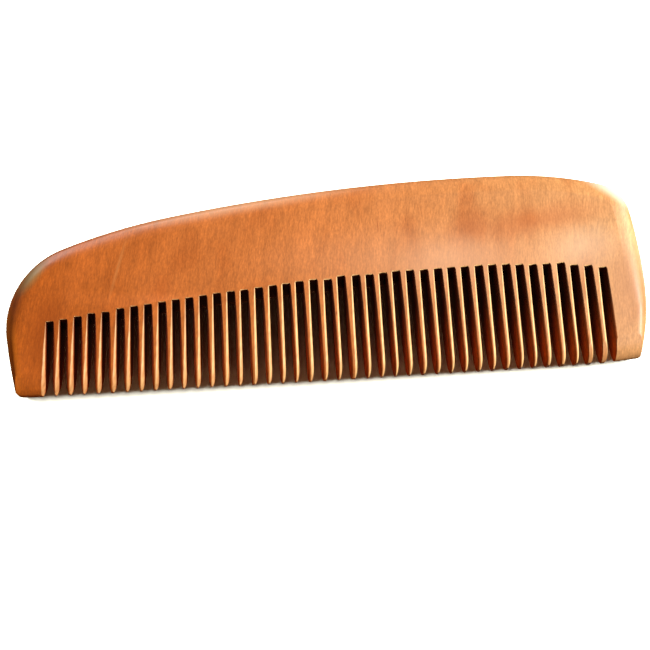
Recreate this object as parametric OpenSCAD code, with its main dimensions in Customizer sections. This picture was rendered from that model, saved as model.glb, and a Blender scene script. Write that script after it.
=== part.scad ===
// Wooden pocket comb, cut from one small board of fruit wood: a solid back,
// forty fine teeth between two broad guards, and a rim rounded all the way round.
// It lies on one flank. The origin is under the middle of its box, +X runs
// along the comb, +Y from the tooth tips to the back and +Z up.
// The board itself is drawn in its own frame: X = 0 at the middle saw cut,
// Y = 0 at the tooth tips and Z = 0 in the middle of its thickness.

/* [Board] */
// Thickness of the board at the back
back_thick = 9.8; // [9.4:0.1:10.4]
// Thickness of the wedge at the tooth tips
tip_thick = 5.1; // [4.6:0.1:5.6]
// Slope of each flank, in degrees
flank_slope = 4.9; // [4.3:0.1:5.2]
// Half thickness that the bevel leaves at the tips
bevel_half = 1.0; // [0.8:0.1:1.6]
// Length of that bevel
bevel_run = 2.0; // [1.2:0.1:2.4]

/* [Teeth] */
// Number of saw cuts, one more than the fine teeth
cuts = 41; // [33:2:41]
// Distance from one saw cut to the next
pitch = 2.8; // [2.6:0.1:2.9]
// Width of a saw cut at its closed end
cut_root = 1.45; // [1.3:0.05:1.6]
// Width of a saw cut where the points of the teeth begin
cut_mouth = 1.65; // [1.6:0.05:1.8]
// How much higher the right corner of a closed end is than the left one
cut_skew = 0.12; // [0:0.02:0.4]
// Length of the pointed end of a tooth
point_run = 2.2; // [1.6:0.1:3.0]
// Width of the blunt tip of a tooth
point_land = 0.4; // [0.3:0.05:0.6]
// How much shorter the last tooth on the right is than the one in the middle
tip_trim = 0.45; // [0:0.05:0.6]
// Width of the bevel along a tooth edge at the closed end of the cut
edge_root = 0.22; // [0.15:0.01:0.3]
// Width of the face left between the two bevels of a tooth at its tip
face_land = 0.3; // [0.25:0.05:0.5]

/* [Guards] */
// Distance from the line of the tips to the end of the left guard
left_end = 0.45; // [0.2:0.05:1.2]
// Distance from the line of the tips to the end of the right guard
right_end = 0.9; // [0.2:0.05:1.2]
// Radius of the outer corner of a guard
corner_r = 1.4; // [0.6:0.1:1.8]

/* [Hidden] */
$fn = 48;

// The outline in plan is a chain of arcs, each tangent to the one before.
// It starts just below the tips at the left side and turns clockwise.
START = [-62.4, -1.6];
START_HEADING = 103.2;
RADIUS = 0;
TURN = 1;
FACES = 2;
OUTLINE = [
    // radius, turn in degrees, flat faces along it
    [120, 6.6, 3], // left side
    [17.5, 76.2, 14], // low left shoulder
    [120, 10.8, 5], // rise of the back
    [400, 10.2, 9], // long back
    [70, 16.1, 5], // fall to the right
    [7, 57.4, 8], // high right shoulder
    [55, 38, 9] // right side
];
LEFT = 0;
SHOULDER = 1;
BACK = 3;
RIGHT = 6;
// Flat faces round the rim, from one flank to the other
RIM_FACES = 12;

// Where the saw cuts end: a smooth line that rises to the right and falls at last.
SAW_LINE = [
    // x, y
    [-56, 14.5],
    [-42, 16.3],
    [-28, 17.85],
    [-14, 19.2],
    [0, 20.2],
    [14, 21],
    [28, 21.3],
    [42, 21.1],
    [50, 20.6],
    [56, 19.65]
];
// How far hand sawing strays from the even pitch and from the saw line
stray_x = 0.05;
stray_y = 0.1;
// The bevels along a cut stop this far short of its closed end
edge_stop = 0.3;
// Height of the V that cuts them: past the flank, but clear of the next V
bevel_high = (pitch - 3 * stray_x) / 2;

rim_r = back_thick / 2;
half_tip = tip_thick / 2;
bevel_top = half_tip + bevel_run * tan(flank_slope);
// Past every edge of the board, so that no cut ends flush with a face
over = 4;
far_y = 60;
long_x = 80;

function turned(i) = i == 0 ? 0 : turned(i - 1) + OUTLINE[i - 1][TURN];
function heading(i) = START_HEADING - turned(i);
function outward(angle) = [-sin(angle), cos(angle)];
function corner(i) = i == 0 ? START
    : centre(i - 1) + OUTLINE[i - 1][RADIUS] * outward(heading(i));
function centre(i) = corner(i) - OUTLINE[i][RADIUS] * outward(heading(i));
function on_arc(i, share, inset) = centre(i)
    + (OUTLINE[i][RADIUS] - inset) * outward(heading(i) - share * OUTLINE[i][TURN]);
function outline(inset) = [
    for (i = [0:len(OUTLINE) - 1], s = [0:OUTLINE[i][FACES] - 1])
        on_arc(i, s / OUTLINE[i][FACES], inset),
    on_arc(len(OUTLINE) - 1, 1, inset)
];
function flank_z(y) = half_tip + y * tan(flank_slope);
function side_reach(i, y) = sqrt(OUTLINE[i][RADIUS] ^ 2 - (y - centre(i)[1]) ^ 2);
function cut_x(i) = (i - (cuts - 1) / 2) * pitch + stray_x * sin(i * 137);
function cut_y(i) = lookup(cut_x(i), SAW_LINE) + stray_y * sin(i * 223);

// Reach of the outline on the left, on the right and at the back
left_x = centre(SHOULDER)[0] - OUTLINE[SHOULDER][RADIUS];
right_x = centre(RIGHT)[0] + OUTLINE[RIGHT][RADIUS];
back_y = centre(BACK)[1] + OUTLINE[BACK][RADIUS];
// The same reach along Y once the board lies on its flank
lying_back = (back_y - rim_r) * cos(flank_slope) + rim_r;
lying_front = -bevel_half * sin(flank_slope);

// The board with its rounded rim, still of even thickness.
module rounded_board() {
    rings = [for (k = [0:RIM_FACES]) -90 + 180 * k / RIM_FACES];
    points = [
        for (tilt = rings, p = outline(rim_r * (1 - cos(tilt))))
            [p[0], p[1], rim_r * sin(tilt)]
    ];
    n = len(outline(0));
    sides = [
        for (k = [0:RIM_FACES - 1], j = [0:n - 1])
            let (a = k * n + j, b = k * n + (j + 1) % n)
                each [[a, b, b + n], [a, b + n, a + n]]
    ];
    bottom = [for (j = [0:n - 1]) n - 1 - j];
    top = [for (j = [0:n - 1]) RIM_FACES * n + j];
    polyhedron(points, concat(sides, [bottom, top]));
}

// What the plane leaves: two flanks that close towards the bevelled tips.
module wedge() {
    rotate([90, 0, 90])
        linear_extrude(2 * long_x, center = true)
            polygon([
                [0, -bevel_half],
                [bevel_run, -bevel_top],
                [far_y, -flank_z(far_y)],
                [far_y, flank_z(far_y)],
                [bevel_run, bevel_top],
                [0, bevel_half]
            ]);
}

// One saw cut, widened at its mouth by the points of its two teeth.
module saw_cut(i) {
    root = cut_root / 2;
    mouth = cut_mouth / 2;
    open = (pitch - point_land) / 2;
    translate([cut_x(i), 0, 0])
        linear_extrude(3 * back_thick, center = true)
            polygon([
                [-open, -over],
                [-open, 0],
                [-mouth, point_run],
                [-root, cut_y(i) - cut_skew / 2],
                [root, cut_y(i) + cut_skew / 2],
                [mouth, point_run],
                [open, 0],
                [open, -over]
            ]);
}

// The bevels along both edges of a cut, on the upper flank: one long V.
module edge_bevel(i) {
    run = cut_y(i) - edge_stop;
    root_depth = cut_root / 2 + edge_root;
    tip_depth = (pitch - face_land) / 2;
    rise = atan2(run * tan(flank_slope) + tip_depth - root_depth, run);
    translate([cut_x(i), 0, half_tip - tip_depth])
        rotate([90 + rise, 0, 0])
            translate([0, 0, -run / cos(rise)])
                linear_extrude(run / cos(rise) + over)
                    polygon([[0, 0], [bevel_high, bevel_high], [-bevel_high, bevel_high]]);
}

// What sanding takes off the tips, from the middle of the comb to its right end.
module tip_sanding() {
    linear_extrude(3 * back_thick, center = true)
        polygon([
            [0, -over],
            [0, 0],
            [long_x, tip_trim * long_x / cut_x(cuts - 1)],
            [long_x, -over]
        ]);
}

// What is taken off the end of a guard, down to a rounded outer corner at x = 0.
module guard_end(length) {
    inner = 6;
    linear_extrude(3 * back_thick, center = true)
        difference() {
            translate([-over, -over])
                square([over + inner, over + length + corner_r]);
            translate([0, length + corner_r])
                square([inner + over, 2 * over]);
            translate([corner_r, length])
                square([inner + over, 2 * over]);
            translate([corner_r, length + corner_r])
                circle(corner_r);
        }
}

// The comb as the saw and the plane leave it, in the frame of the board.
module board_comb() {
    difference() {
        intersection() {
            rounded_board();
            wedge();
        }
        for (i = [0:cuts - 1]) {
            saw_cut(i);
            edge_bevel(i);
            mirror([0, 0, 1])
                edge_bevel(i);
        }
        tip_sanding();
        translate([centre(LEFT)[0] - side_reach(LEFT, left_end + corner_r), 0, 0])
            guard_end(left_end);
        translate([centre(RIGHT)[0] + side_reach(RIGHT, right_end + corner_r), 0, 0])
            mirror([1, 0, 0])
                guard_end(right_end);
    }
}

// Laid on its lower flank, with the middle of its box over the origin.
module comb() {
    color("peru")
        translate([
            -(left_x + right_x) / 2,
            -(lying_front + lying_back) / 2,
            half_tip * cos(flank_slope)
        ])
            rotate([flank_slope, 0, 0])
                board_comb();
}

comb();
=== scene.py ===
# %% [markdown]
# # A wooden pocket comb
# This lesson makes one comb out of one board, in the order that a comb maker
# works: saw the outline, round the rim, plane the two flanks, saw the gaps,
# file the teeth, wax the wood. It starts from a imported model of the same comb,
# which gives the exact size. Our own, finer comb takes its place.

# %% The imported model
import math
import random

import bmesh
import bpy
from mathutils import Matrix, Vector


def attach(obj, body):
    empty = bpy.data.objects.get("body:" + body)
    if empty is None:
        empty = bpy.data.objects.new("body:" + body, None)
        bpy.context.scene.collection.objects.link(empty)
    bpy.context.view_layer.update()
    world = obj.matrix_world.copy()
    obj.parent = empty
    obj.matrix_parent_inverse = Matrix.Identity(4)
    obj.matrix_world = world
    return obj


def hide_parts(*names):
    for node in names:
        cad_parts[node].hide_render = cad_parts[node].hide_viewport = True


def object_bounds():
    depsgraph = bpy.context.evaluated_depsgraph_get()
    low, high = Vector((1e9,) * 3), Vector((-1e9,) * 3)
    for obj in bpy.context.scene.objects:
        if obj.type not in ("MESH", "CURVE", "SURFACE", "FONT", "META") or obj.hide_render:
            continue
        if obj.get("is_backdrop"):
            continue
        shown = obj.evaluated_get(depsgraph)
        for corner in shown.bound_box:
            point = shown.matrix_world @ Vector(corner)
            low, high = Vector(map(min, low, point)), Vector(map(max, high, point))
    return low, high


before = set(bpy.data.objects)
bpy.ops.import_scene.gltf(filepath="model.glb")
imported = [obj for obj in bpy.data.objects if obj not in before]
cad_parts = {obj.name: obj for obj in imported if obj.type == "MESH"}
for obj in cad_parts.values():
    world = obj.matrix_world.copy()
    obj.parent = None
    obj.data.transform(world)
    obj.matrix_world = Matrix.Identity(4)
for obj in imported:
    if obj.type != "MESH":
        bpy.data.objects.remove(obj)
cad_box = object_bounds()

print("the packed comb fills", [[round(1000 * v, 2) for v in corner] for corner in cad_box])

# %% [markdown]
# ## Working in millimetres
# Blender's unit is the metre, and a comb is a few centimetres long. The whole
# comb is drawn in millimetres, in the frame of its own board: X = 0 at the
# middle saw cut, Y = 0 at the tips of the teeth and Z = 0 halfway through the
# board. At the end it is laid down on its lower flank and shrunk to metres.
# The two helpers below do what a hand does with the mouse: pick one object,
# and pick the points, edges or faces to work on by where they are.

# %% Helpers for picking
# Two places closer than this count as one
NEAR = 0.01


def pick_object(piece):
    """Deselect everything, then select one object and make it the active one."""
    bpy.ops.object.select_all(action="DESELECT")
    piece.select_set(True)
    bpy.context.view_layer.objects.active = piece


def pick(kind, test):
    """In edit mode, select only the verts, edges or faces that pass a test."""
    mesh = bmesh.from_edit_mesh(bpy.context.edit_object.data)
    getattr(mesh, kind).index_update()
    bpy.ops.mesh.select_mode(type={"verts": "VERT", "edges": "EDGE", "faces": "FACE"}[kind])
    bpy.ops.mesh.select_all(action="DESELECT")
    for part in getattr(mesh, kind):
        if test(part):
            part.select_set(True)
    mesh.select_flush_mode()
    bmesh.update_edit_mesh(bpy.context.edit_object.data)


def edit(on=True):
    """Go into edit mode, or back to object mode."""
    bpy.ops.object.mode_set(mode="EDIT" if on else "OBJECT")


print("helpers ready")

# %% [markdown]
# ## The outline
# Seen from above, the comb is a chain of arcs, each running smoothly into the
# next: a low round shoulder on the left, a long flat back that falls a little
# to the right, a high blunt shoulder and a side that draws in towards the tips.
# A maker would draw it round a template. Here one point is swung round the
# centre of each arc in turn with Spin, which draws the same smooth chain. Both
# sides run on a little past the tips, to be cut off later.

# %% Draw the outline
START = (-62.4, -1.8)
START_HEADING = 103.2
PAST_TIPS = 7.0
OUTLINE = [
    # name, radius, turn in degrees, steps
    ("left side", 120, 6.6, 10),
    ("left shoulder", 17.5, 76.2, 30),
    ("rise of the back", 120, 10.8, 16),
    ("long back", 400, 10.2, 36),
    ("fall to the right", 72.5, 15.6, 16),
    ("right shoulder", 8, 65.4, 18),
    ("right side, upper part", 104, 8.4, 10),
    ("right side", 45.5, 22.1, 20),
]


def towards(angle):
    """The direction of a heading in degrees."""
    return (math.cos(math.radians(angle)), math.sin(math.radians(angle)))


def outward(heading):
    """The direction to the left of a heading, which leads out of the comb."""
    return (-math.sin(math.radians(heading)), math.cos(math.radians(heading)))


def fresh_mesh(name):
    """One single point at the origin, in edit mode."""
    bpy.ops.object.select_all(action="DESELECT")
    bpy.ops.mesh.primitive_plane_add(size=1, enter_editmode=True)
    bpy.ops.mesh.merge(type="CENTER")
    bpy.context.object.name = name
    return bpy.context.object


comb = fresh_mesh("comb_wood")
ahead = towards(START_HEADING)
bpy.ops.transform.translate(
    value=(START[0] - PAST_TIPS * ahead[0], START[1] - PAST_TIPS * ahead[1], 0))
bpy.ops.mesh.extrude_region_move(
    TRANSFORM_OT_translate={"value": (PAST_TIPS * ahead[0], PAST_TIPS * ahead[1], 0)})

here, heading, centres = START, START_HEADING, {}
for name, radius, turn, steps in OUTLINE:
    out = outward(heading)
    centre = (here[0] - radius * out[0], here[1] - radius * out[1])
    bpy.ops.mesh.spin(steps=steps, angle=math.radians(turn), center=(*centre, 0), axis=(0, 0, 1))
    heading -= turn
    out = outward(heading)
    here = (centre[0] + radius * out[0], centre[1] + radius * out[1])
    centres[name] = (*centre, radius)

ahead = towards(heading)
bpy.ops.mesh.extrude_region_move(
    TRANSFORM_OT_translate={"value": (PAST_TIPS * ahead[0], PAST_TIPS * ahead[1], 0)})
bpy.ops.mesh.select_all(action="SELECT")
bpy.ops.mesh.remove_doubles(threshold=NEAR)
bpy.ops.mesh.edge_face_add()
bpy.ops.mesh.normals_make_consistent(inside=False)
board_face = bmesh.from_edit_mesh(comb.data).faces[:][0]
if board_face.normal.z < 0:
    bpy.ops.mesh.flip_normals()
print("outline of", len(board_face.verts), "points, ending at", [round(v, 2) for v in here])

# %% [markdown]
# ## The rounded rim
# The rim is a full half-round, so that the comb is kind to the hand. A maker
# takes it down with a round cutter that runs round the edge. Inset does the
# same: each ring lies a little further in and a little higher than the last,
# by the sine and cosine of a quarter circle. Only the upper half is made now.

# %% Round the rim
BACK_THICK = 9.8
RIM_RINGS = 24
rim_r = BACK_THICK / 2
for ring in range(RIM_RINGS):
    now, then = (math.radians(90 * step / RIM_RINGS) for step in (ring, ring + 1))
    bpy.ops.mesh.inset(
        thickness=rim_r * (math.cos(now) - math.cos(then)),
        depth=rim_r * (math.sin(then) - math.sin(now)))
print("rim of", RIM_RINGS, "rings,", len(bmesh.from_edit_mesh(comb.data).verts), "points")

# %% [markdown]
# ## Planing the flank
# The board is thick at the back and thin at the tips, so that the teeth slide
# into the hair. The flank could be cut off with Bisect, but that leaves a hard
# edge at the rim. Here the surface is pressed flat instead, as clay under a
# board: it keeps its rings of points, and they are needed for the sanding. The
# flank eases into the level back over a few facets, each a bit flatter than the
# last, and Bisect first rules a line across the board where each facet begins.

# %% Rule lines where the facets meet
FLANK_SLOPE = 4.9
# Thickness of the wedge at the tips, before they are ground
TIP_THICK = 5.134
# How far the easing reaches to either side of the old edge
EASE = 6.5
FACETS = 6
half_tip = TIP_THICK / 2
level_y = (rim_r - half_tip) / math.tan(math.radians(FLANK_SLOPE))
ease_r = EASE / math.tan(math.radians(FLANK_SLOPE / 2))
slopes = [FLANK_SLOPE * (1 - step / FACETS) for step in range(FACETS + 1)]

for before, after in zip(slopes, slopes[1:]):
    middle, half = math.radians((before + after) / 2), math.radians((before - after) / 2)
    line_y = level_y + EASE - ease_r * math.sin(middle) / math.cos(half)
    bpy.ops.mesh.select_all(action="SELECT")
    bpy.ops.mesh.bisect(plane_co=(0, line_y, 0), plane_no=(0, 1, 0))
print("the flank reaches the full thickness at y =", round(level_y, 2))

# %% [markdown]
# Each facet is pressed flat in turn. The board is tipped until that facet would
# be level, all the points above it are scaled down to its height, and the board
# is tipped back. The points near the coming edge are noted down first, while
# the rim is still a clean round, because the sanding needs them.

# %% Press the facets flat
# Half width of the strip that will be sanded: it grows with the distance from the tips
SAND_AT_TIPS = 0.8
SAND_PER_MM = 0.10
SAND_LEAST, SAND_MOST = 1.0, 3.0
# Points higher than this share of the rim lie on the level back
ON_TOP = 0.999


def flank_height(y):
    """Height of the eased flank above the middle of the board."""
    facets = [rim_r - ease_r + ease_r / math.cos(math.radians(s))
              + (y - level_y - EASE) * math.tan(math.radians(s)) for s in slopes]
    return min(facets)


def near_edge(point):
    """Is this point of the rim close to the edge that the flank will leave?"""
    edge = math.asin(min(1, flank_height(point.y) / rim_r))
    wide = min(SAND_MOST, max(SAND_LEAST, SAND_AT_TIPS + SAND_PER_MM * point.y))
    return point.z < ON_TOP * rim_r and abs(math.asin(point.z / rim_r) - edge) * rim_r < wide


sandable = {v.index for v in bmesh.from_edit_mesh(comb.data).verts if near_edge(v.co)}
for facet in slopes[:-1]:
    lean = math.radians(facet)
    height = (level_y + EASE) * -math.sin(lean) + (rim_r - ease_r) * math.cos(lean) + ease_r
    bpy.ops.mesh.select_all(action="SELECT")
    bpy.ops.transform.rotate(value=lean, orient_axis="X", center_override=(0, 0, 0))
    pick("verts", lambda v: v.co.z > height)
    bpy.ops.transform.resize(value=(1, 1, 0), center_override=(0, 0, height))
    bpy.ops.mesh.select_all(action="SELECT")
    bpy.ops.transform.rotate(value=-lean, orient_axis="X", center_override=(0, 0, 0))
print(len(slopes) - 1, "facets pressed,", len(sandable), "points near the edge")

# %% [markdown]
# ## Sanding the edge
# Hand sanding has all but rubbed out the edge between flank and rim: it is crisp
# at the ends of the guards, soft along their sides and very soft at the low
# shoulder, where the thumb lies. Smooth moves each point near the edge towards
# its neighbours, again and again, which is what sandpaper does. The higher part
# of the board gets more strokes. Then Mirror adds the lower half.

# %% Sand the edge, then mirror the half board
STROKES = [
    # from this far above the tips, number of strokes
    (3, 10),
    (5, 12),
    (12, 20),
]
SEAM = 0.001

for from_y, strokes in STROKES:
    pick("verts", lambda v: v.index in sandable and v.co.y > from_y)
    bpy.ops.mesh.vertices_smooth(factor=0.5, repeat=strokes)
edit(False)
pick_object(comb)
mirror = comb.modifiers.new("lower half", "MIRROR")
mirror.use_axis = (False, False, True)
mirror.merge_threshold = SEAM
bpy.ops.object.modifier_apply(modifier=mirror.name)
print("board", [round(v, 2) for v in comb.dimensions], "mm,", len(comb.data.polygons), "faces")

# %% [markdown]
# ## Trimming the tips
# All the teeth are trimmed in one go while they are still one board: straight
# across, then a hair shorter towards the right, where this comb is worn. A belt
# then grinds both faces down over the last few millimetres, in a curve like
# that of a pencil point seen from the side. Bisect throws away what lies
# outside each pass and closes the cut.

# %% Trim the tips
# How much shorter the teeth are at the right end, and how far out that is
TIP_TRIM = 0.45
TRIM_AT = 56.0
NOSE = [
    # distance from the tips, half thickness there
    (0.0, 0.45),
    (0.2, 0.90),
    (0.5, 1.35),
    (1.0, 1.85),
    (1.7, 2.25),
    (2.6, 2.60),
    (3.6, 2.85),
]


def plane_off(point, normal):
    """Cut away all that lies on the side that the normal points to, and close the cut."""
    bpy.ops.mesh.select_all(action="SELECT")
    bpy.ops.mesh.bisect(
        plane_co=point, plane_no=normal, clear_outer=True, use_fill=True, threshold=1e-4)


edit()
plane_off((0, 0, 0), (0, -1, 0))
plane_off((0, 0, 0), (TIP_TRIM / TRIM_AT, -1, 0))
for side in (1, -1):
    for (y0, z0), (y1, z1) in zip(NOSE, NOSE[1:]):
        plane_off((0, y0, side * z0), (0, z0 - z1, side * (y1 - y0)))
print("tips ground from", 2 * NOSE[-1][1], "to", 2 * NOSE[0][1], "mm")

# %% [markdown]
# ## The ends of the guards
# The guards are a little shorter than the teeth, and their ends slant. Each
# outer corner is rounded in plan by a fan of cuts, every one turned twelve
# degrees further than the last. The slanted end is ground thin as the tips are.

# %% Round the guards
GUARDS = [
    # side of the outline, direction, how much shorter than the tips, corner radius, slant
    ("left side", -1, 0.08, 1.7, 1.0),
    ("right side", 1, 1.00, 0.8, 4.4),
]
CORNER_TURNS = (15, 27, 39, 51, 63, 75)
# Slivers that the cuts leave are closed up to this width
WELD = 0.02


def side_reach(name, y):
    """How far the arc of one side reaches from its centre at this distance from the tips."""
    x, centre_y, radius = centres[name]
    return math.sqrt(radius ** 2 - (y - centre_y) ** 2)


for name, side, end, corner_r, slant in GUARDS:
    x = centres[name][0] + side * (side_reach(name, end + corner_r) - corner_r)
    for angle in (slant, *CORNER_TURNS):
        out = (side * math.sin(math.radians(angle)), -math.cos(math.radians(angle)))
        at = (x + corner_r * out[0], end + corner_r + corner_r * out[1])
        plane_off((*at, 0), (*out, 0))
        if angle == slant:
            for up in (1, -1):
                for (u0, z0), (u1, z1) in zip(NOSE, NOSE[1:]):
                    plane_off((at[0] - u0 * out[0], at[1] - u0 * out[1], up * z0),
                              (out[0] * (z1 - z0), out[1] * (z1 - z0), up * (u1 - u0)))
    print(name, "corner rounded about x =", round(x, 2))

bpy.ops.mesh.select_all(action="SELECT")
bpy.ops.mesh.remove_doubles(threshold=WELD)
bpy.ops.mesh.normals_make_consistent(inside=False)
edit(False)
print("planed board:", len(comb.data.polygons), "faces")

# %% [markdown]
# ## Three finishes
# The saw, the file and the polishing cloth each leave their own surface, and
# each finish also carries painted light: painted sheen, shade and highlights on
# the polished face, a painted highlight on the filed edges and painted shade on
# the sawn ones. The three materials are named now and mixed later. The saw blades
# and the files are given theirs before they cut, and Boolean can pass the
# material of a tool on to the faces that it makes.

# %% Name the finishes
def new_material(name):
    """A material with an empty node tree."""
    material = bpy.data.materials.new(name)
    material.use_nodes = True
    material.node_tree.nodes.clear()
    return material


waxed = new_material("waxed_pear_wood_with_painted_light")
sawn_and_shaded = new_material("sawn_and_shaded_pear_wood")
filed_and_lit = new_material("filed_and_lit_pear_wood")
comb.data.materials.append(waxed)
print("finishes:", waxed.name, sawn_and_shaded.name, filed_and_lit.name)

# %% [markdown]
# ## Sawing the teeth
# The gaps are sawn one by one, by hand and eye, so no two are quite alike. One
# saw blade is modelled as a box, with lines across it where the points of the
# teeth begin. Those lines are pushed apart towards the mouth, which gives each
# tooth its gothic point, a little to one side of the middle.

# %% One saw blade
CUTS = 41
PITCH = 2.8
# Width of a cut at its closed end
CUT_ROOT = 1.45
MOUTH = [
    # distance from the tips, half width of the gap there, how far it is aside
    (2.4, 0.800, 0.00),
    (1.7, 0.825, 0.02),
    (1.1, 0.870, 0.05),
    (0.65, 0.95, 0.09),
    (0.3, 1.06, 0.13),
    (0.0, 1.20, 0.17),
]
BLADE_END = 20.0
# How far a tool reaches past the tips
OVER = 3.0
# Two lines along the blade let its closed end be ragged
RAGGED_AT = 0.25

bpy.ops.object.select_all(action="DESELECT")
bpy.ops.mesh.primitive_cube_add(size=1, enter_editmode=True)
blades = bpy.context.object
blades.name = "saw_blades"
bpy.ops.transform.resize(
    value=(CUT_ROOT, BLADE_END + OVER, 3 * BACK_THICK), center_override=(0, 0, 0))
bpy.ops.transform.translate(value=(0, (BLADE_END - OVER) / 2, 0))
for y, half, aside in MOUTH:
    bpy.ops.mesh.select_all(action="SELECT")
    bpy.ops.mesh.bisect(plane_co=(0, y, 0), plane_no=(0, 1, 0))
for x in (-RAGGED_AT, RAGGED_AT):
    bpy.ops.mesh.select_all(action="SELECT")
    bpy.ops.mesh.bisect(plane_co=(x, 0, 0), plane_no=(1, 0, 0))
for y, half, aside in MOUTH + [(-OVER, *MOUTH[-1][1:])]:
    pick("verts", lambda v: abs(v.co.y - y) < NEAR)
    bpy.ops.transform.resize(value=(2 * half / CUT_ROOT, 1, 1), center_override=(0, y, 0))
    bpy.ops.transform.translate(value=(-aside, 0, 0))
print("one blade,", len(bmesh.from_edit_mesh(blades.data).verts), "points")

# %% [markdown]
# The closed ends follow a smooth line that rises to the right and falls at last,
# and the cuts fan out a little towards the tips. A hand never keeps to its marks,
# so each cut also has its own small error, as on the real comb: it is sawn a bit
# too far left or right, and a bit too deep or not deep enough.

# %% Where the cuts go
# x of a cut, y of its closed end
SAW_LINE = [(-56, 14.08), (-42, 15.91), (-28, 17.48), (-14, 18.85), (0, 19.97),
            (14, 20.8), (28, 21.13), (42, 20.8), (50, 20.2), (56, 19.05)]
# x of a cut, how far it leans in degrees
LEAN_LINE = [(-56, -2.3), (-42, -2.2), (-28, -1.4), (0, -0.1), (14, 0.5), (56, 1.0)]
# How far each cut is off the even pitch, in hundredths of a millimetre. This list
# and the next one were measured on the photo, so they are readings and not values
# chosen by hand.
STRAY = [8, -5, -4, -15, -14, -4, -9, -12, -9, -13, -22, -24, -26, -23, -32, -17, -13, -20, -32, -26,
         -15, -21, 3, 0, -1, -13, -10, -3, 1, -5, -8, -2, -6, 1, -5, -12, -5, 7, -5, 7, 21]
# How far each cut runs past the saw line, in hundredths of a millimetre
DEEPER = [19, 12, 20, 30, 5, 25, 28, 19, 22, 22, 15, 18, 21, 18, 6, 8, 12, 15, 23, 24, -9,
          30, 12, -5, -5, 7, 2, -12, -7, -8, -7, 8, 16, 17, 2, -9, 18, 41, 6, 37, 38]


def on_line(line, x):
    """Read a value off a line given by its corners."""
    for (x0, y0), (x1, y1) in zip(line, line[1:]):
        if x <= x1:
            return y0 + (y1 - y0) * (x - x0) / (x1 - x0)
    return line[-1][1]


cut_x = [(i - (CUTS - 1) / 2) * PITCH + stray / 100 for i, stray in enumerate(STRAY)]
cut_y = [on_line(SAW_LINE, x) + deeper / 100 for x, deeper in zip(cut_x, DEEPER)]
print(CUTS, "cuts from x =", round(cut_x[0], 2), "to", round(cut_x[-1], 2))

# %% [markdown]
# The blade is copied from place to place. The closed end of each copy is moved
# to its own depth, the four corners of that end are nudged, which makes it
# slanted and ragged, and at last the copy is turned by its lean.

# %% Copy the blade along the comb
# How much higher the right corner of a closed end is, and how far each corner may stray
CUT_SKEW = 0.06
RAGGED = 0.06
# Points past this belong to the closed end, and a cut turns about this place
HALFWAY = 10.0
TURNS_AT = 7.8
hand = random.Random(7)


def copy_along(places):
    """Duplicate what is selected from each place along X to the next; tell how many points it has."""
    each = len(bmesh.from_edit_mesh(bpy.context.edit_object.data).verts)
    bpy.ops.mesh.select_all(action="SELECT")
    bpy.ops.transform.translate(value=(places[0], 0, 0))
    for before, after in zip(places, places[1:]):
        bpy.ops.mesh.duplicate_move(TRANSFORM_OT_translate={"value": (after - before, 0, 0)})
    return each


def lean_copy(i, each):
    """Turn one copy a little about a point halfway down its cut."""
    pick("verts", lambda v: v.index // each == i)
    bpy.ops.transform.rotate(value=-math.radians(on_line(LEAN_LINE, cut_x[i])), orient_axis="Z",
                             center_override=(cut_x[i], TURNS_AT, 0))


points = copy_along(cut_x)
for i, (x, y) in enumerate(zip(cut_x, cut_y)):
    pick("verts", lambda v: v.index // points == i and v.co.y > HALFWAY)
    bpy.ops.transform.translate(value=(0, y - BLADE_END, 0))
    for corner in (-CUT_ROOT / 2, -RAGGED_AT, RAGGED_AT, CUT_ROOT / 2):
        pick("verts", lambda v: v.index // points == i and v.co.y > HALFWAY
             and abs(v.co.x - x - corner) < 5 * NEAR)
        skew = CUT_SKEW * corner / CUT_ROOT + hand.uniform(-RAGGED, RAGGED)
        bpy.ops.transform.translate(value=(0, skew, 0))
    lean_copy(i, points)
edit(False)
blades.data.materials.append(sawn_and_shaded)
print("blades fill", [round(v, 2) for v in blades.dimensions], "mm")

# %% [markdown]
# ## Filing the teeth round
# A sawn tooth is a square stick. A file with hollow sides, run down each gap,
# rounds the edges of the two teeth beside it, hardly at all at the root and
# fully near the tips, where it dips and makes the end of each tooth a cone. One
# hollow is almost a quarter turn, made with Spin. Its mirror image is the other
# side of the file, and the profile between the two is filled.

# %% One hollow file
FILE_STOPS = [
    # distance from the tips, where the hollow meets the wall, its width, depth and dip
    (0.0, 1.17, 0.16, 0.55, 1.78),
    (0.4, 1.01, 0.32, 0.90, 1.25),
    (0.95, 0.885, 0.44, 1.05, 0.79),
    (1.7, 0.81, 0.515, 1.05, 0.45),
    (2.6, 0.782, 0.53, 1.00, 0.19),
    (3.6, 0.78, 0.53, 0.95, 0.03),
    (4.6, 0.775, 0.53, 0.90, 0.0),
    (7.0, 0.76, 0.53, 0.82, 0.0),
    (11.0, 0.742, 0.49, 0.66, 0.0),
    (15.0, 0.722, 0.40, 0.48, 0.0),
    (BLADE_END - 0.30, 0.70, 0.26, 0.26, 0.0),
    (BLADE_END, 0.70, 0.08, 0.08, 0.0),
    (BLADE_END + 0.12, 0.70, 0.01, 0.02, 0.0),
]
ARC = 84.0
ARC_STEPS = 6
# In widths of the hollow: the core of the file, its slanted foot and its whole half height
CORE, FOOT, HALF_HIGH = 0.9, 0.5, 1.5

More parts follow.
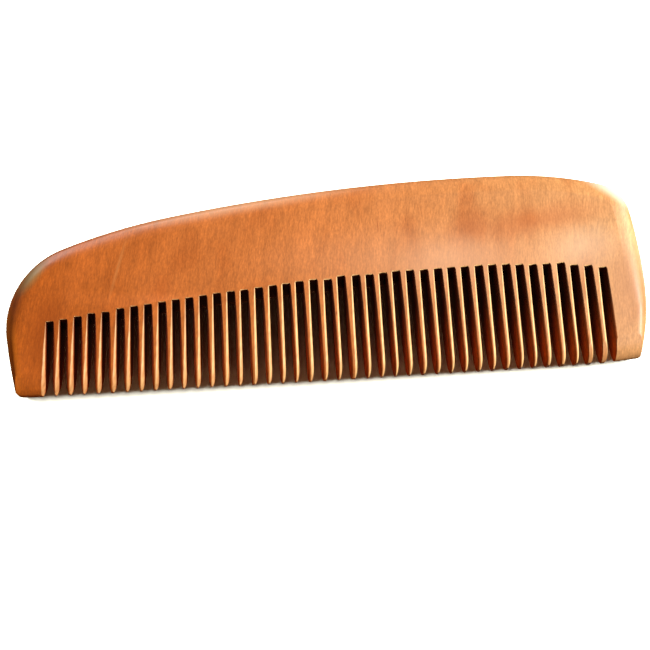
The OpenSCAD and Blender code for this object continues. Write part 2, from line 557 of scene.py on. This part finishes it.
y, wall, wide, deep, dip = FILE_STOPS[0]
files = fresh_mesh("files")
bpy.ops.transform.translate(value=(wall - CORE * wide, -OVER, -HALF_HIGH * wide))
bpy.ops.mesh.extrude_region_move(
    TRANSFORM_OT_translate={"value": (CORE * wide, 0, FOOT * wide)})
centre_off = 0.5 * wide * (1 + 1 / math.tan(math.radians(ARC / 2)))
bpy.ops.mesh.spin(steps=ARC_STEPS, angle=math.radians(-ARC),
                  center=(wall + centre_off, -OVER, -centre_off), axis=(0, 1, 0))
bpy.ops.mesh.extrude_region_move(TRANSFORM_OT_translate={"value": (0, 0, HALF_HIGH * wide)})
bpy.ops.mesh.select_all(action="SELECT")
bpy.ops.mesh.duplicate()
bpy.ops.transform.resize(value=(-1, 1, 1), center_override=(0, -OVER, 0))
for end in (-HALF_HIGH * wide, HALF_HIGH * wide):
    pick("verts", lambda v: abs(v.co.z - end) < NEAR)
    bpy.ops.mesh.edge_face_add()
bpy.ops.mesh.select_all(action="SELECT")
bpy.ops.mesh.edge_face_add()
bpy.ops.transform.resize(value=(1, 1, deep / wide), center_override=(0, -OVER, 0))
bpy.ops.transform.translate(value=(0, 0, -dip))
print("profile of", len(bmesh.from_edit_mesh(files.data).verts), "points")

# %% [markdown]
# Extrude pulls the profile along the gap from stop to stop, and each new end is
# scaled and moved to the width, depth and dip of that stop. The last three stops
# close the hollow. Near the tips the file moves aside with the points of the
# gap. Its left half rubs the wood pale, and its right half only breaks the edge
# and leaves the brown of the saw, so the two halves get different finishes. The
# pale one lies on the right-facing edges, towards the window lamp, and is partly a
# painted highlight; the red-brown one lies on the left-facing edges and is partly
# painted shade.

# %% Pull the profile along the gap
# y, how far the gap is aside there
ASIDE = [(y, aside) for y, half, aside in reversed(MOUTH)]
last = (-OVER, wall, wide, deep, dip)
for stop in FILE_STOPS:
    y, wall, wide, deep, dip = stop
    bpy.ops.mesh.extrude_region_move(TRANSFORM_OT_translate={"value": (0, y - last[0], 0)})
    for side in (1, -1):
        pick("verts", lambda v: abs(v.co.y - y) < NEAR and v.co.x * side > 0)
        bpy.ops.transform.resize(
            value=(wide / last[2], 1, deep / last[3]), center_override=(side * last[1], y, -last[4]))
        bpy.ops.transform.translate(value=(side * (wall - last[1]), 0, last[4] - dip))
    pick("faces", lambda f: all(abs(v.co.y - y) < NEAR for v in f.verts))
    last = stop
for stop in (-OVER, *(stop[0] for stop in FILE_STOPS)):
    pick("verts", lambda v: abs(v.co.y - stop) < NEAR)
    bpy.ops.transform.translate(value=(-on_line(ASIDE, stop), 0, 0))
bpy.ops.mesh.select_all(action="SELECT")
bpy.ops.mesh.normals_make_consistent(inside=False)
for side_finish in (filed_and_lit, sawn_and_shaded):
    bpy.ops.object.material_slot_add()
    files.active_material = side_finish
# The left half keeps the pale finish with its painted highlight; the right half gets the red-brown one
# with its painted shade
pick("faces", lambda f: f.calc_center_median().x > 0)
bpy.ops.object.material_slot_assign()
print("one file,", len(bmesh.from_edit_mesh(files.data).faces), "faces")

# %% [markdown]
# The file is copied as the blade was, and each copy is stretched to the closed
# end of its gap. The hand changes along the comb: on the left the pale side is
# filed less and less towards the closed ends, and each stroke is pushed a little
# to one side. A copy turned upside down does the lower face.

# %% Copy the file along the comb, above and below
# A copy is stretched from here on
FILE_FROM = 5.0
# x of a cut, how much less its pale side is filed, in equal steps at these places
SPARED = [(-56, 0.24), (-30, 0.20), (-10, 0.0), (0, 0.0)]
SPARED_FROM = (3, 6, 10)
# x of a cut, how far the file is pushed to the right
PUSHED = [(-56, -0.08), (-35, -0.06), (-15, -0.01), (0, 0.06), (56, 0.12)]

points = copy_along(cut_x)
for i, (x, y) in enumerate(zip(cut_x, cut_y)):
    reach = (y / math.cos(math.radians(FLANK_SLOPE)) - FILE_FROM) / (BLADE_END - FILE_FROM)
    pick("verts", lambda v: v.index // points == i and v.co.y > FILE_FROM)
    bpy.ops.transform.resize(value=(1, reach, 1), center_override=(x, FILE_FROM, 0))
    for from_y in SPARED_FROM:
        pick("verts", lambda v: v.index // points == i and v.co.x < x and v.co.y > from_y)
        bpy.ops.transform.translate(value=(on_line(SPARED, x) / len(SPARED_FROM), 0, 0))
    lean_copy(i, points)
    bpy.ops.transform.translate(value=(on_line(PUSHED, x), 0, 0))
bpy.ops.mesh.select_all(action="SELECT")
bpy.ops.transform.rotate(
    value=math.radians(-FLANK_SLOPE), orient_axis="X", center_override=(0, 0, 0))
bpy.ops.transform.translate(value=(0, 0, half_tip))
edit(False)

pick_object(files)
bpy.ops.object.duplicate()
files_below = bpy.context.object
edit()
bpy.ops.mesh.select_all(action="SELECT")
bpy.ops.transform.resize(value=(1, 1, -1), center_override=(0, 0, 0))
bpy.ops.mesh.flip_normals()
edit(False)
print("files fill", [round(v, 2) for v in files.dimensions], "mm, above and below")

# %% [markdown]
# ## Cutting
# Boolean takes the blades and then the files away from the board, exactly.
# The tools are thrown away afterwards.

# %% Cut with the saw, then with the file
def cut_with(tool):
    """Take the shape of a tool away from the comb, then throw the tool away."""
    pick_object(comb)
    cut = comb.modifiers.new("cut", "BOOLEAN")
    cut.operation = "DIFFERENCE"
    cut.solver = "EXACT"
    cut.material_mode = "TRANSFER"
    cut.object = tool
    bpy.ops.object.modifier_apply(modifier=cut.name)
    bpy.data.objects.remove(tool)
    print("cut:", len(comb.data.polygons), "faces")


cut_with(blades)
cut_with(files)
cut_with(files_below)
print("finishes on the comb:", [slot.name for slot in comb.data.materials])

# %% [markdown]
# ## Laying the comb down
# The comb lies on its lower flank, so it is tipped by the slope of that flank
# and lifted until the flank touches the table. Then it is shrunk from
# millimetres to metres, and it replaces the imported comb. It is made a few
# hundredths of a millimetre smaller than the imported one, to stay inside it.

# %% Lay it on its flank and hand it over
MM = 0.001
INSIDE = 0.9994
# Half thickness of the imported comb's tips, and how much longer its teeth are
BEVEL_HALF = 1.0
TIPS_SHORT = 0.2
# How far the comb then moves towards its tips, to use the room that the box leaves
TOWARDS_TIPS = 0.03
slope = math.radians(FLANK_SLOPE)
left_x = centres["left shoulder"][0] - centres["left shoulder"][2]
right_x = centres["right side"][0] + centres["right side"][2]
top_y = centres["long back"][1] + centres["long back"][2]
lying_back = (top_y - rim_r) * math.cos(slope) + rim_r
lying_front = -TIPS_SHORT * math.cos(slope) - BEVEL_HALF * math.sin(slope)

edit()
bpy.ops.mesh.select_all(action="SELECT")
bpy.ops.transform.rotate(value=-slope, orient_axis="X", center_override=(0, 0, 0))
bpy.ops.transform.translate(value=(
    -(left_x + right_x) / 2,
    -(lying_front + lying_back) / 2 - TOWARDS_TIPS,
    half_tip * math.cos(slope)))
bpy.ops.transform.resize(value=(MM * INSIDE,) * 3, center_override=(0, 0, 0))
edit(False)

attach(comb, "root")
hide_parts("comb")

corners = [[round(1000 * f(v.co[i] for v in comb.data.vertices), 3) for i in range(3)]
           for f in (min, max)]
print("the finished comb fills", corners)

# %% [markdown]
# ## Smooth where it is round, flat where it is flat
# Faces that meet at a small angle are shaded as one curve, and the rest keep
# their edges. Weighted normals let the big flat flank set the light at its own
# border, so that it stays flat right up to the rim.

# %% Shade the comb
SMOOTH_BELOW = 32
FLAT_WEIGHT = 60

pick_object(comb)
bpy.ops.object.shade_smooth_by_angle(angle=math.radians(SMOOTH_BELOW), keep_sharp_edges=False)
weighted = comb.modifiers.new("flat flank", "WEIGHTED_NORMAL")
weighted.keep_sharp = True
weighted.weight = FLAT_WEIGHT
bpy.ops.object.modifier_apply(modifier=weighted.name)
print("the comb has", sum(len(f.vertices) - 2 for f in comb.data.polygons), "triangles")

# %% [markdown]
# ## The wood
# Waxed pear or peach wood: fine, even and almost without figure. The eye gets
# three things from it: short hair-fine fibres that run along the teeth, soft
# cloudy patches of lighter and redder wood, and a satin wax sheen that is a
# little uneven. All of it is made from noise on Object coordinates, so the grain
# runs through the comb as it does through a real board.

# %% Colours and one helper for nodes
def linear(hex_colour):
    """An sRGB colour such as #BC733E as the linear values that Blender works with."""
    channels = [int(hex_colour[i:i + 2], 16) / 255 for i in (1, 3, 5)]
    return tuple(c / 12.92 if c <= 0.04045 else ((c + 0.055) / 1.055) ** 2.4 for c in channels) + (1,)


def add(tree, kind, links=None, sockets=None, **settings):
    """Add one node: its settings, the values on its sockets, and what is linked to them."""
    node = tree.nodes.new(kind)
    for name, value in settings.items():
        setattr(node, name, value)
    for name, value in (sockets or {}).items():
        node.inputs[name].default_value = value
    for name, source in (links or {}).items():
        tree.links.new(source, node.inputs[name])
    return node


print("#BC733E is", [round(c, 3) for c in linear("#BC733E")])

# %% [markdown]
# The grain isn't quite straight on this board: it runs almost along the teeth on
# the right and leans by eleven degrees on the left. Moving each point sideways by
# its height on the board, times a lean that grows to the left, bends the pattern
# just so. Each layer of noise is then squeezed to the size of what it stands
# for, in millimetres across, along and through the board.

# %% The grain of the board
LEAN_MIDDLE = 0.13
LEAN_PER_METRE = -1.0
LAYERS = {
    # name: millimetres across, along, through; detail; distortion
    "fibres": (0.32, 1.7, 1.0, 3.0, 0.0),
    "flecks": (0.25, 0.6, 0.5, 1.0, 0.0),
    "strands": (1.5, 14.0, 5.0, 2.0, 0.4),
    "clouds": (8.0, 15.0, 9.0, 3.0, 0.3),
}


def board_grain(tree):
    """The same board for every finish: where each point lies, and four layers of noise."""
    place = add(tree, "ShaderNodeTexCoord").outputs["Object"]
    axes = add(tree, "ShaderNodeSeparateXYZ", {"Vector": place}).outputs
    lean = add(tree, "ShaderNodeMath", {0: axes["X"]}, {1: LEAN_PER_METRE, 2: LEAN_MIDDLE},
               operation="MULTIPLY_ADD").outputs[0]
    aside = add(tree, "ShaderNodeMath", {0: axes["Y"], 1: lean}, operation="MULTIPLY").outputs[0]
    across = add(tree, "ShaderNodeMath", {0: axes["X"], 1: aside}, operation="SUBTRACT").outputs[0]
    leaned = add(tree, "ShaderNodeCombineXYZ", {"X": across, "Y": axes["Y"], "Z": axes["Z"]}).outputs[0]
    grain = {"place": place, "x": axes["X"], "y": axes["Y"]}
    for name, (wide, long, deep, detail, distortion) in LAYERS.items():
        squeezed = add(tree, "ShaderNodeMapping", {"Vector": leaned},
                       {"Scale": tuple(1 / (MM * size) for size in (wide, long, deep))}).outputs[0]
        grain[name] = add(tree, "ShaderNodeTexNoise", {"Vector": squeezed},
                          {"Scale": 1.0, "Detail": detail, "Distortion": distortion}).outputs["Fac"]
    return grain


print("grain layers:", ", ".join(LAYERS))

# %% [markdown]
# The colour runs from a deep orange on the left to a paler, duller brown on the
# right. The paler, duller right end is partly the wood's tone and partly a painted
# sheen of the window lamp, which stands on that side. Clouds make it redder in
# places, and each layer makes it a little lighter and darker: the fibres by up to
# a sixth, the rest by about a tenth.

# %% The colour of the board
# Left, middle and right tone; the paler right one is partly painted sheen
TONES = ("#B25815", "#B96E35", "#B38250")
REDDER = "#A8521F"
# Cloud noise where the redness begins and where it is full, and how full that is
REDDER_FROM, REDDER_TO, REDDER_MOST = 0.5, 0.8, 0.5
SWING = {"clouds": 0.08, "strands": 0.09, "fibres": 0.17, "flecks": 0.11}
# A layer of noise hardly leaves this range
LOW, HIGH = 0.3, 0.7
HALF_LENGTH = 65.0


def board_colour(tree, grain):
    """The colour of the bare board: its tones from end to end, redder clouds, then each layer."""
    end_to_end = add(tree, "ShaderNodeMapRange", {"Value": grain["x"]},
                     {"From Min": MM * -HALF_LENGTH, "From Max": MM * HALF_LENGTH}).outputs[0]
    tone = add(tree, "ShaderNodeValToRGB", {"Fac": end_to_end})
    tone.color_ramp.elements.new(0.5)
    for stop, hex_colour in zip(tone.color_ramp.elements, TONES):
        stop.color = linear(hex_colour)
    redness = add(tree, "ShaderNodeMapRange", {"Value": grain["clouds"]},
                  {"From Min": REDDER_FROM, "From Max": REDDER_TO, "To Max": REDDER_MOST}).outputs[0]
    colour = add(tree, "ShaderNodeMix", {0: redness, 6: tone.outputs["Color"]},
                 {7: linear(REDDER)}, data_type="RGBA").outputs[2]
    for layer, swing in SWING.items():
        factor = add(tree, "ShaderNodeMapRange", {"Value": grain[layer]},
                     {"From Min": LOW, "From Max": HIGH,
                      "To Min": 1 + swing, "To Max": 1 - swing}).outputs[0]
        colour = add(tree, "ShaderNodeVectorMath", {0: colour, 1: factor},
                     operation="MULTIPLY").outputs[0]
    return colour


print("tones from left to right:", TONES)

# %% [markdown]
# ## Marks of the board, and painted light
# This board has its own marks: a pale vein, a short dark line, redder patches
# and a grey-green patch on the low shoulder. Beside them lies painted light: a
# painted sheen just above the gaps and along the back, painted shade where the
# back catches less sheen, and a painted highlight along the right end's edge.
# Each is one soft ellipse, laid out in millimetres: a Mapping node set to Texture
# moves the coordinates into the ellipse, and a spherical gradient fades from its
# middle to its border. The border of the larger ones wanders by a millimetre.

# %% Where the marks are
MARKS_AND_PAINTED_LIGHT = [
    # middle x, y; half width; half length; lean in degrees; colour; strength; wander
    ((26.0, 1.0), 11.0, 48.0, -92, "#CFA07C", 0.30, 1.0),  # painted sheen above the gaps
    ((25.0, 1.5), 7.0, 15.0, -88, "#D8AC8A", 0.24, 1.0),  # painted sheen, strongest here
    ((52.0, 2.8), 7.0, 12.0, -80, "#D8BC9C", 0.32, 1.0),  # painted sheen, right
    ((44.0, 9.0), 4.5, 20.0, -82, "#A85824", 0.45, 1.0),  # painted shade: deeper orange on the back, where less sheen falls than on the flank
    ((30.0, 8.5), 4.5, 5.0, 0, "#9A4718", 0.35, 1.0),  # redder patch
    ((-33.9, -1.7), 3.0, 5.0, -17, "#A54A18", 0.30, 1.0),  # redder patch, left
    ((-56.5, -9.5), 6.0, 14.0, -10, "#86380A", 0.55, 1.0),  # darker brown over the left guard
    ((-42.15, 3.35), 0.55, 9.0, -17.4, "#D08A4C", 0.35, 0.0),  # pale vein
    ((66.2, -2.0), 3.0, 22.0, 3, "#F0D8C0", 0.60, 0.0),  # painted highlight along the right edge, where the window lamp lights the rim
    ((60.4, 15.4), 3.2, 12.0, 52, "#F0D8C0", 0.85, 0.0),  # painted highlight round the high shoulder
    ((61.0, -6.0), 8.0, 16.0, -10, "#A66F46", 0.60, 1.0),  # duller wood in the right guard
    ((-64.9, -7.0), 2.6, 18.0, 9, "#D87A1C", 0.85, 0.0),  # redder along the left edge
    ((-16.0, 16.2), 3.2, 42.0, -82.0, "#E8BE90", 0.36, 0.0),  # painted sheen along the back rim
    ((10.55, 9.4), 0.22, 2.4, 0, "#6B2A0A", 0.55, 0.0),  # short dark line
    ((-59.4, 3.0), 2.4, 6.5, -40.0, "#AC9252", 0.82, 0.4),  # grey-green patch on the low shoulder
    ((1.1, -8.1), 0.45, 0.6, 0, "#7A1E08", 0.70, 0.0),  # red spot on a tooth
]
# Size of the noise that moves a border, and its whole range
WANDER_SIZE = 5.0
WANDER_BY = 2.0


def with_marks_and_painted_light(tree, grain, colour):
    """Lay each mark, and each patch of painted sheen, shade and highlight, over the colour of the
    board.
    """
    cloudy = add(tree, "ShaderNodeMapping", {"Vector": grain["place"]},
                 {"Scale": (1 / (MM * WANDER_SIZE),) * 3}).outputs[0]
    stray = add(tree, "ShaderNodeTexNoise", {"Vector": cloudy},
                {"Scale": 1.0, "Detail": 3.0}).outputs["Color"]
    stray = add(tree, "ShaderNodeVectorMath", {0: stray}, {1: (0.5, 0.5, 0.5)},
                operation="SUBTRACT").outputs[0]
    for (x, y), wide, long, lean, hex_colour, strength, wander in MARKS_AND_PAINTED_LIGHT:
        moved = add(tree, "ShaderNodeVectorMath", {0: stray, 2: grain["place"]},
                    {1: (WANDER_BY * MM * wander,) * 3}, operation="MULTIPLY_ADD").outputs[0]
        inside = add(tree, "ShaderNodeMapping", {"Vector": moved},
                     {"Location": (MM * x, MM * y, 0), "Rotation": (0, 0, math.radians(lean)),
                      "Scale": (MM * wide, MM * long, 1)}, vector_type="TEXTURE").outputs[0]
        fade = add(tree, "ShaderNodeTexGradient", {"Vector": inside},
                   gradient_type="SPHERICAL").outputs["Fac"]
        amount = add(tree, "ShaderNodeMapRange", {"Value": fade},
                     {"To Max": strength}, interpolation_type="SMOOTHSTEP").outputs[0]
        colour = add(tree, "ShaderNodeMix", {0: amount, 6: colour},
                     {7: linear(hex_colour)}, data_type="RGBA").outputs[2]
    return colour


print(len(MARKS_AND_PAINTED_LIGHT), "marks")

# %% [markdown]
# ## The three finishes
# The polished faces are satin: wax fills the pores, and its gloss is a little
# uneven. The file leaves pale, dull wood with no wax on it, and that paleness is
# also a painted highlight on the right-facing edges. The saw leaves the walls of
# the gaps rough; their red-brown is partly the saw and partly painted shade, and
# they are painted darker towards the closed end, as shade in the recess. All
# three share the board, so the grain runs on from one to the next.

# %% Mix the finishes
# Pale bare wood, which on the right-facing edges also stands for a painted highlight of the window lamp
BARE_AND_LIT = "#D6AE72"
# Fibre noise of the light and of the dark fibres, and how much of the paleness the dark ones get
LIGHT_FIBRE, DARK_FIBRE, DARK_BARE_AND_LIT = 0.35, 0.65, 0.5
# How pale the teeth are at the left end, bare wood and painted highlight together, and where along the
# comb that ends
LEFT_BARE_AND_LIT, LEFT_X, FULL_X = 0.6, -60, 10
# How bright a wall stays at the closed end under the painted shade, and where that shade is full and
# where it ends
ROOT_SHADE = 0.20
ROOT_Y, TIP_Y = -7.0, -19.0
# Depth of the relief, how far the roughness swings, and the gloss of wood
RELIEF = 0.05
UNEVEN = 0.05
IOR, SHINE = 1.5, 0.35


def with_painted_root_shade(tree, grain, colour):
    """Painted shade: darker towards the closed end, in the recess of the gap."""
    unshaded_share = add(tree, "ShaderNodeMapRange", {"Value": grain["y"]},
                {"From Min": MM * ROOT_Y, "From Max": MM * TIP_Y,
                 "To Min": ROOT_SHADE, "To Max": 1.0}).outputs[0]
    return add(tree, "ShaderNodeVectorMath", {0: colour, 1: unshaded_share}, operation="MULTIPLY").outputs[0]


def with_wear_and_painted_highlight(tree, grain, colour):
    """Bare filed wood is paler than the waxed face, least so in the dark fibres; this paleness is also
    a painted highlight on the right-facing edges, weaker towards the left end.
    """
    pale_and_lit = add(tree, "ShaderNodeMapRange", {"Value": grain["fibres"]},
                 {"From Min": LIGHT_FIBRE, "From Max": DARK_FIBRE,
                  "To Min": 1.0, "To Max": DARK_BARE_AND_LIT}).outputs[0]
    to_right = add(tree, "ShaderNodeMapRange", {"Value": grain["x"]},
                   {"From Min": MM * LEFT_X, "From Max": MM * FULL_X,
                    "To Min": LEFT_BARE_AND_LIT, "To Max": 1.0}).outputs[0]
    pale_and_lit = add(tree, "ShaderNodeMath", {0: pale_and_lit, 1: to_right}, operation="MULTIPLY").outputs[0]
    return add(tree, "ShaderNodeMix", {0: pale_and_lit, 6: colour}, {7: linear(BARE_AND_LIT)},
               data_type="RGBA").outputs[2]


def finish(material, stain, rough, relief, extra):
    """Fill one material with the board, and with what its own treatment and its painted light do to it.
    """
    tree = material.node_tree
    grain = board_grain(tree)
    colour = extra(tree, grain, board_colour(tree, grain))
    colour = add(tree, "ShaderNodeVectorMath", {0: colour}, {1: stain},
                 operation="MULTIPLY").outputs[0]
    bump = add(tree, "ShaderNodeBump", {"Height": grain["fibres"]},
               {"Strength": relief, "Distance": MM * RELIEF}).outputs[0]
    gloss = add(tree, "ShaderNodeMapRange", {"Value": grain["clouds"]},
                {"From Min": LOW, "From Max": HIGH,
                 "To Min": rough + UNEVEN, "To Max": rough - UNEVEN}).outputs[0]
    surface = add(tree, "ShaderNodeBsdfPrincipled",
                  {"Base Color": colour, "Normal": bump, "Roughness": gloss},
                  {"IOR": IOR, "Specular IOR Level": SHINE})
    add(tree, "ShaderNodeOutputMaterial", {"Surface": surface.outputs[0]})
    print(material.name, "has", len(tree.nodes), "nodes")


# material, stain, roughness, relief, what its own treatment and painted light add
finish(waxed, (1.0, 1.0, 1.0), 0.45, 0.25, with_marks_and_painted_light)
# The filed finish: bare wood, and a painted highlight on the right-facing edges
finish(filed_and_lit, (1.0, 1.0, 1.0), 0.55, 0.30, with_wear_and_painted_highlight)
# The sawn finish: its deep red-brown stain is partly rough sawn wood and partly painted shade on the
# gap walls and the left-facing edges
finish(sawn_and_shaded, (1.02, 0.58, 0.26), 0.62, 0.50, with_painted_root_shade)

# %% [markdown]
# ## The table
# A plain sheet of matt paper, much larger than the view, so that it fills the
# picture. No light bounces from it onto the comb.

# %% Lay the sheet
SHEET = 3.0

bpy.ops.object.select_all(action="DESELECT")
bpy.ops.mesh.primitive_plane_add(size=SHEET, location=(0, 0, 0))
table = bpy.context.object
table.name = "pale_sheet"
paper = new_material("matt_white_paper")
paper_surface = add(paper.node_tree, "ShaderNodeBsdfPrincipled", None,
                    {"Base Color": linear("#E4E6D8"), "Roughness": 0.9, "Specular IOR Level": 0.1})
add(paper.node_tree, "ShaderNodeOutputMaterial", {"Surface": paper_surface.outputs[0]})
table.data.materials.append(paper)
table.visible_diffuse = False
table.visible_glossy = False
table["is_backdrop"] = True
print("sheet laid")

# %% [markdown]
# ## Light
# The window is one small strong light, forty degrees high on the right. It rakes
# across the teeth, so each has a bright right edge and throws its gap into
# shadow. A low lamp on the right fills the pale rim, and a wide dim panel behind
# gives the back its sheen. The room itself is dim and warm. A studio would whiten
# the sheet afterwards. Here lamps linked to the sheet alone do it: two large
# ones, left and right, leave the soft straight shadow under the tips, and a low
# dim warm one in front reaches a little way into the gaps.

# %% Place the lights
LAMPS = [
    # name, place, aim and size in millimetres, watts, colour, what it lights
    ("window", (430, -62, 365), (0, 0, 0), (110, 110), 6.25, "#FFFFFF", "comb_only"),
    ("far_panel", (-190, 395, 70), (-30, 20, 0), (340, 100), 1.4, "#FFFFFF", None),
    ("rim_lamp", (480, 190, 130), (40, 0, 5), (150, 150), 2.2, "#FFF2E0", "comb_only"),
    ("left_sheet_lamp", (-620, 225, 400), (0, 0, 0), (360, 360), 26.0, "#FFFFFF", "sheet_only"),
    ("right_sheet_lamp", (560, 20, 400), (0, 0, 0), (360, 360), 26.0, "#FFFFFF", "sheet_only"),
    ("front_lamp", (0, -480, 110), (0, -20, 0), (700, 60), 0.42, "#FFD2A0", "sheet_only"),
]
ROOM_COLOUR = "#FFA474"
ROOM_LIGHT = 0.085


def soft_light(name, place_mm, aim_mm, size_mm, watts, colour):
    """One rectangular lamp that faces the place it is aimed at."""
    spot = Vector(place_mm) * MM
    turn = (Vector(aim_mm) * MM - spot).to_track_quat("-Z", "Y").to_euler()
    bpy.ops.object.light_add(type="AREA", location=spot, rotation=turn)
    lamp = bpy.context.object
    lamp.name = name
    lamp.data.shape = "RECTANGLE"
    lamp.data.size, lamp.data.size_y = (side * MM for side in size_mm)
    lamp.data.energy = watts
    lamp.data.color = linear(colour)[:3]
    return lamp


receivers = {}
for name, piece in (("comb_only", comb), ("sheet_only", table)):
    receivers[name] = bpy.data.collections.new(name)
    receivers[name].objects.link(piece)
for *settings, lights_only in LAMPS:
    lamp = soft_light(*settings)
    if lights_only:
        lamp.light_linking.receiver_collection = receivers[lights_only]

world = bpy.data.worlds.new("dim_room")
world.use_nodes = True
background = world.node_tree.nodes["Background"]
background.inputs["Color"].default_value = linear(ROOM_COLOUR)
background.inputs["Strength"].default_value = ROOM_LIGHT
bpy.context.scene.world = world
print(len(LAMPS), "lamps and a dim room")

# %% [markdown]
# ## The camera
# The photograph was taken from high above the tips, with the comb turned
# slightly in the picture. The place and the lens come from fitting a camera to
# the two lines of the teeth: their closed ends and their tips. The colours are
# shown just as they are, with no film curve over them.

# %% Set up the camera
CAMERA_AT = Vector((-13.89, -91.82, 229.95))
FORWARD = Vector((0.0523, 0.3424, -0.9381)).normalized()
UP = Vector((0.0538, 0.9371, 0.3450))
LENS = 65.908
SENSOR = 36
NEAREST = 0.01

right = FORWARD.cross(UP).normalized()
up = right.cross(FORWARD)
turn = Matrix((right, up, -FORWARD)).transposed().to_euler()
bpy.ops.object.camera_add(location=CAMERA_AT * MM, rotation=turn)
camera = bpy.context.object
camera.name = "camera"
camera.data.sensor_width = SENSOR
camera.data.lens = LENS
camera.data.clip_start = NEAREST
bpy.context.scene.camera = camera
bpy.context.scene.view_settings.view_transform = "Standard"
print("camera at", [round(v, 1) for v in CAMERA_AT], "mm, lens", LENS, "mm")

# %% [markdown]
# ## The two boxes
# The finished comb may not be larger than the imported one, so both boxes are
# written down side by side.

# %% Print the two boxes
own_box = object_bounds()
for label, corners in (("packed", cad_box), ("finished", own_box)):
    print(label, [[round(1000 * float(v), 3) for v in corner] for corner in corners])
